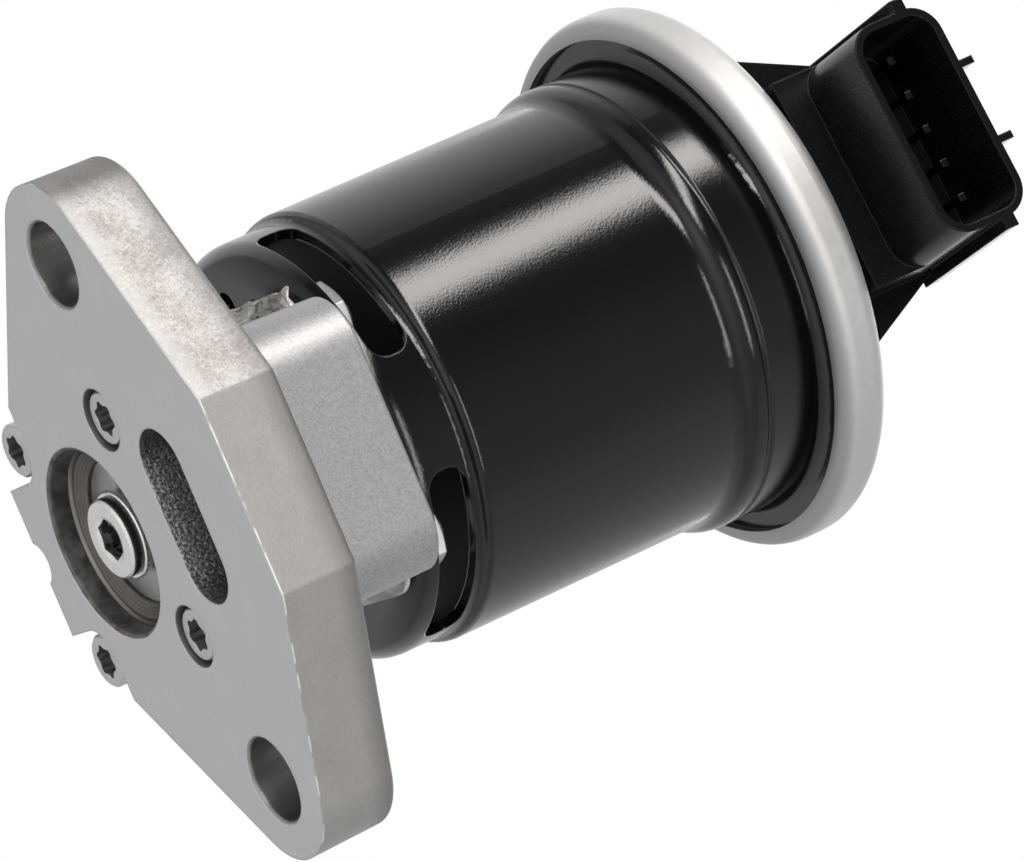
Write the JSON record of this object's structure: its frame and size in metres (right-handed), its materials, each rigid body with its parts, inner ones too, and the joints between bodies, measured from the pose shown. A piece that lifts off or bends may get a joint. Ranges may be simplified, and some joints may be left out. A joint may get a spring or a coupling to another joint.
{
  "type": "exhaust gas recirculation valve",
  "caption": "Solenoid exhaust gas recirculation valve: two-hole steel flange with round inlet and oval port, cast body, windowed black can, crimp ring and side connector.",
  "frame": {"origin": "on the valve's axis in the plane of the mounting face", "axes": "+Z along the valve's axis from the mounting face to the connector end, +X along the line of the two mounting holes, +Y from the round inlet to the oval port"},
  "size_m": [0.072, 0.0697, 0.093],
  "materials": {
    "forged_steel": "ground face, blasted sides",
    "graphite_gasket": "matte graphite sheet",
    "cast_body": "fine cast skin with dark pores",
    "fibre_gasket": "light brown fibre sheet",
    "seat_steel": "turned, soot brown",
    "screw_steel": "bright plated",
    "nut_steel": "plated",
    "valve_steel": "heat tinted",
    "washer_steel": "bright",
    "valve_screw_steel": "satin",
    "stem_steel": "ground",
    "guide_bronze": "sintered",
    "seal_rubber": "matte",
    "black_paint": "gloss black paint",
    "pole_steel": "turned",
    "tube_brass": "drawn",
    "bobbin_plastic": "moulded",
    "coil_wire": "enamelled copper wire",
    "contact_brass": "stamped",
    "armature_steel": "turned",
    "spring_steel": "drawn wire",
    "ring_metal": "satin plated",
    "black_plastic": "moulded, satin",
    "terminal_metal": "tinned",
    "guide_plastic": "moulded",
    "board_ceramic": "printed board"
  },
  "bodies": {
    "housing": {"mounting_flange": "forged_steel", "body_gasket": "graphite_gasket", "valve_body": "cast_body", "insulator_gasket": "fibre_gasket", "valve_seat": "seat_steel", "flange_screws": "screw_steel", "cover_nuts": "nut_steel", "stem_guide": "guide_bronze", "stem_seal": "seal_rubber", "solenoid_cover": "black_paint", "lower_pole": "pole_steel", "guide_tube": "tube_brass", "coil_bobbin": "bobbin_plastic", "coil_winding": "coil_wire", "upper_pole": "pole_steel", "coil_contacts": "contact_brass", "return_spring": "spring_steel", "crimp_ring": "ring_metal", "cap_seal": "seal_rubber", "sensor_cap": "black_plastic", "connector_terminals": "terminal_metal", "plunger_guide": "guide_plastic", "sensor_board": "board_ceramic", "sensor_spring": "spring_steel"},
    "valve_train": {"valve_stem": "stem_steel", "valve_disc": "valve_steel", "valve_washer": "washer_steel", "valve_screw": "valve_screw_steel", "armature": "armature_steel", "armature_nut": "nut_steel"},
    "sensor_slider": {"sensor_plunger": "guide_plastic", "sensor_wiper": "contact_brass"}
  },
  "joints": [
    {"name": "valve_lift", "type": "slide", "parent": "housing", "child": "valve_train", "axis": [0, 0, 1], "range_m": [0, 0.004], "stiffness_N_per_m": 2000, "springref_m": -0.006, "deforming": ["return_spring"]},
    {"name": "sensor_travel", "type": "slide", "parent": "housing", "child": "sensor_slider", "axis": [0, 0, 1], "range_m": [0, 0.004], "stiffness_N_per_m": 60, "springref_m": -0.008, "deforming": ["sensor_spring"]}
  ],
  "couplings": [
    {"joint": "sensor_travel", "follows": "valve_lift", "ratio": 1}
  ]
}
